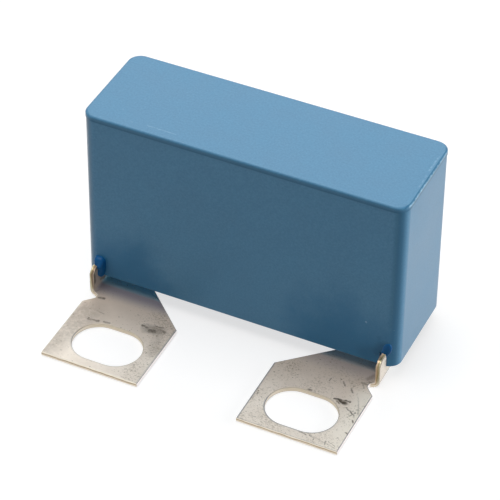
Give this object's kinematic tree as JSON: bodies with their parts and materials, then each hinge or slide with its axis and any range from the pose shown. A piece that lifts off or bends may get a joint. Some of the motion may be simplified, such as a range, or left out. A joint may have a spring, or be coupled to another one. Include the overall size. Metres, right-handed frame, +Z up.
{
  "type": "film capacitor",
  "caption": "Potted box film capacitor with bent strap terminals whose flat plates carry slotted screw holes.",
  "frame": {"origin": "midway between the centres of the two screw slots, on the underside of the terminal plates", "axes": "+X along the length of the box, +Y from the slots back towards the box, +Z up out of the screw plates towards the closed top of the box"},
  "size_m": [0.042, 0.0283, 0.0265],
  "materials": {
    "case_plastic": "satin moulded blue plastic",
    "resin": "cured potting resin, dark blue",
    "film": "metallised polypropylene film, wound",
    "cover_film": "plain polypropylene film",
    "sprayed_metal": "sprayed zinc, matt and grainy",
    "tinned_sheet": "tinned copper-alloy sheet, scuffed, with plain sheared edges",
    "solder": "tin solder"
  },
  "bodies": {
    "root": {"case": "case_plastic", "potting_resin": "resin", "winding": "film", "cover_film": "cover_film", "end_spray_left": "sprayed_metal", "end_spray_right": "sprayed_metal", "terminal_left": "tinned_sheet", "terminal_right": "tinned_sheet", "solder_joint_left": "solder", "solder_joint_right": "solder"}
  },
  "joints": []
}
